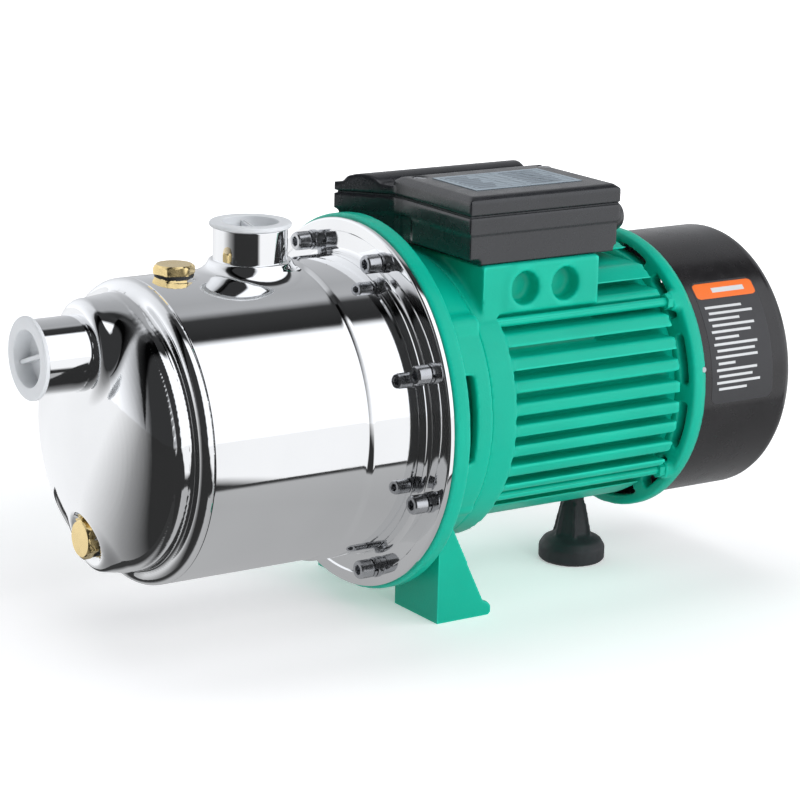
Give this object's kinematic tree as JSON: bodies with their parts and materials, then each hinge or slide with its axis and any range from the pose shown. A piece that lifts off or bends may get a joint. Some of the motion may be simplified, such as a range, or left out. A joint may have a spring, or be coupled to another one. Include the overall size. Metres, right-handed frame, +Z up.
{
  "type": "shallow well jet pump",
  "caption": "Electric self-priming jet pump: polished steel casing with suction and discharge ports, finned green motor, fan cover and terminal box.",
  "frame": {"origin": "middle of the two front foot bolt holes, on the surface that the pump stands on", "axes": "+X along the shaft from the suction port towards the fan, +Z up"},
  "size_m": [0.4425, 0.204, 0.2305],
  "materials": {
    "polished_steel": "mirror polished",
    "steel": "satin",
    "green_paint": "satin, lightly textured",
    "black_paint": "gloss",
    "box_plastic": "fine matt texture",
    "white_plastic": "satin",
    "brass": "machined",
    "rubber": "matt",
    "inner_plastic": "moulded",
    "copper": "enamelled wire",
    "ceramic": "lapped",
    "label": "printed film",
    "data_plate": "anodised"
  },
  "bodies": {
    "housing": {"pump_casing": "polished_steel", "front_cover": "polished_steel", "suction_fitting": "polished_steel", "discharge_fitting": "polished_steel", "casing_screws": "steel", "casing_washers": "steel", "casing_o_ring": "rubber", "seal_plate": "steel", "diffuser": "inner_plastic", "suction_elbow": "inner_plastic", "jet_nozzle": "brass", "venturi_tube": "inner_plastic", "seal_seat": "ceramic", "motor_bracket": "green_paint", "bearing_outer_races": "steel", "bearing_balls": "steel", "wave_washer": "steel", "stator_core": "steel", "stator_windings": "copper", "motor_housing": "green_paint", "rear_shield": "green_paint", "tie_bolts": "green_paint", "fan_cover": "black_paint", "fan_cover_screws": "steel", "cover_label": "label", "rear_foot": "rubber", "rear_foot_screw": "steel", "terminal_box_base": "box_plastic", "box_gasket": "rubber", "terminal_box_lid": "box_plastic", "lid_screws": "steel", "lid_plate": "data_plate", "capacitor": "white_plastic", "terminal_block": "white_plastic", "gland_body": "inner_plastic", "gland_nut": "inner_plastic"},
    "suction_cap": {"suction_cap": "white_plastic"},
    "discharge_cap": {"discharge_cap": "white_plastic"},
    "priming_plug": {"priming_plug": "brass", "priming_washer": "rubber"},
    "drain_plug": {"drain_plug": "brass", "drain_washer": "rubber"},
    "rotor": {"shaft": "steel", "impeller": "steel", "impeller_nut": "steel", "seal_head": "rubber", "slinger": "rubber", "bearing_inner_races": "steel", "rotor_core": "steel", "rotor_end_rings": "steel", "fan": "inner_plastic", "fan_clip": "steel"}
  },
  "joints": [
    {"name": "rotor_spin", "type": "hinge", "parent": "housing", "child": "rotor", "pos_m": [0, 0, 0.112], "axis": [1, 0, 0], "continuous": true},
    {"name": "suction_cap_pull", "type": "slide", "parent": "housing", "child": "suction_cap", "axis": [-1, 0, 0], "range_m": [0, 0.06]},
    {"name": "discharge_cap_pull", "type": "slide", "parent": "housing", "child": "discharge_cap", "axis": [0, 0, 1], "range_m": [0, 0.06]},
    {"name": "priming_plug_out", "type": "slide", "parent": "housing", "child": "priming_plug", "axis": [0, 0, 1], "range_m": [0, 0.03]},
    {"name": "drain_plug_out", "type": "slide", "parent": "housing", "child": "drain_plug", "axis": [-1, 0, 0], "range_m": [0, 0.03]}
  ]
}
